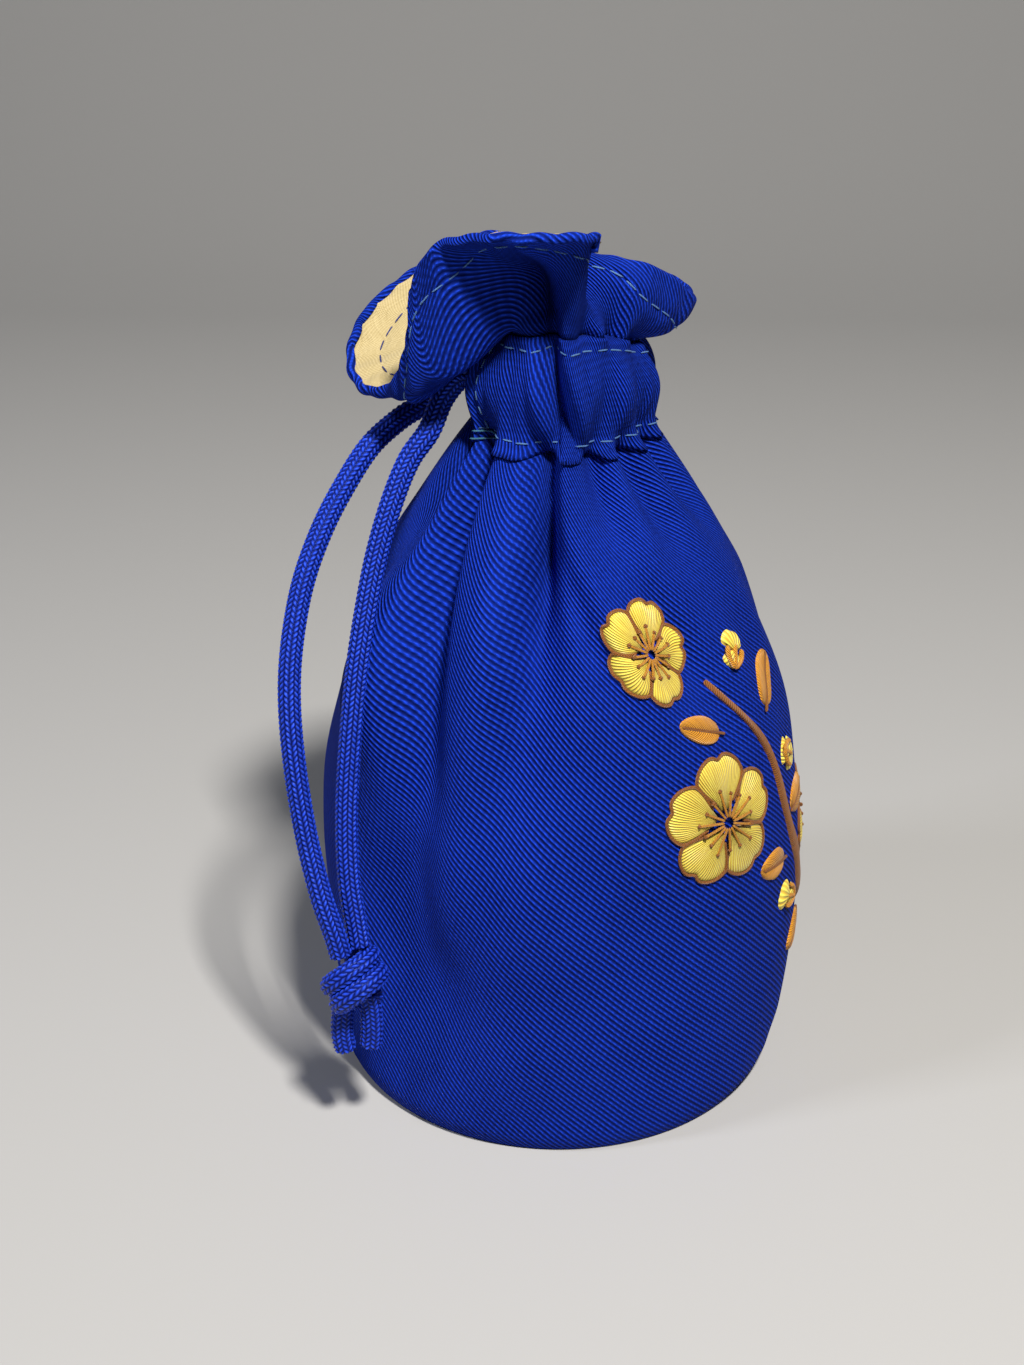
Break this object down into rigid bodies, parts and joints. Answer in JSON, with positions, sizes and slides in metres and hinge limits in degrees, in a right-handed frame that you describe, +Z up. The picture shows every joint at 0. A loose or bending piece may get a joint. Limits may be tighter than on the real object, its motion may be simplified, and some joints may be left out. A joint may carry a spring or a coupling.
{
  "type": "drawstring pouch",
  "caption": "Lined kinchaku drawstring pouch in blue twill with a flat round base, gathered neck, stitched cord casing, flared ruffle, knotted cord and embroidered blossom sprig.",
  "frame": {"origin": "centre of the round base, on the surface the pouch stands on", "axes": "+Z up through the neck; -Y towards the viewer of the picture, the side between the cord ends and the embroidery; +X to the viewer's right"},
  "size_m": [0.0995, 0.0933, 0.1806],
  "materials": {
    "blue_twill": "cotton twill weave, matt",
    "natural_lining": "plain-woven unbleached cotton, matt",
    "braided_cord": "braided nylon, soft sheen",
    "ochre_thread": "satin-stitched embroidery thread, sheen along the stitches",
    "gold_thread": "satin-stitched embroidery thread, sheen along the stitches",
    "pale_blue_thread": "sewing thread, matt"
  },
  "bodies": {
    "root": {"outer_side_panel": "blue_twill", "outer_base": "blue_twill", "cord_casing": "blue_twill", "lining_side_panel": "natural_lining", "lining_base": "natural_lining", "drawstring_neck_loop": "braided_cord", "drawstring_front_strand": "braided_cord", "drawstring_back_strand": "braided_cord", "drawstring_front_end": "braided_cord", "drawstring_back_end": "braided_cord", "drawstring_knot": "braided_cord", "branch": "ochre_thread", "blossom_large": "gold_thread", "blossom_low": "gold_thread", "blossom_high": "gold_thread", "bud_right": "gold_thread", "bud_low": "gold_thread", "bud_top": "gold_thread", "leaf_top": "ochre_thread", "leaf_left": "ochre_thread", "leaf_middle": "ochre_thread", "leaf_inner": "ochre_thread", "leaf_low": "ochre_thread", "leaf_foot": "ochre_thread", "bartack_front": "pale_blue_thread", "bartack_back": "pale_blue_thread"}
  },
  "joints": []
}
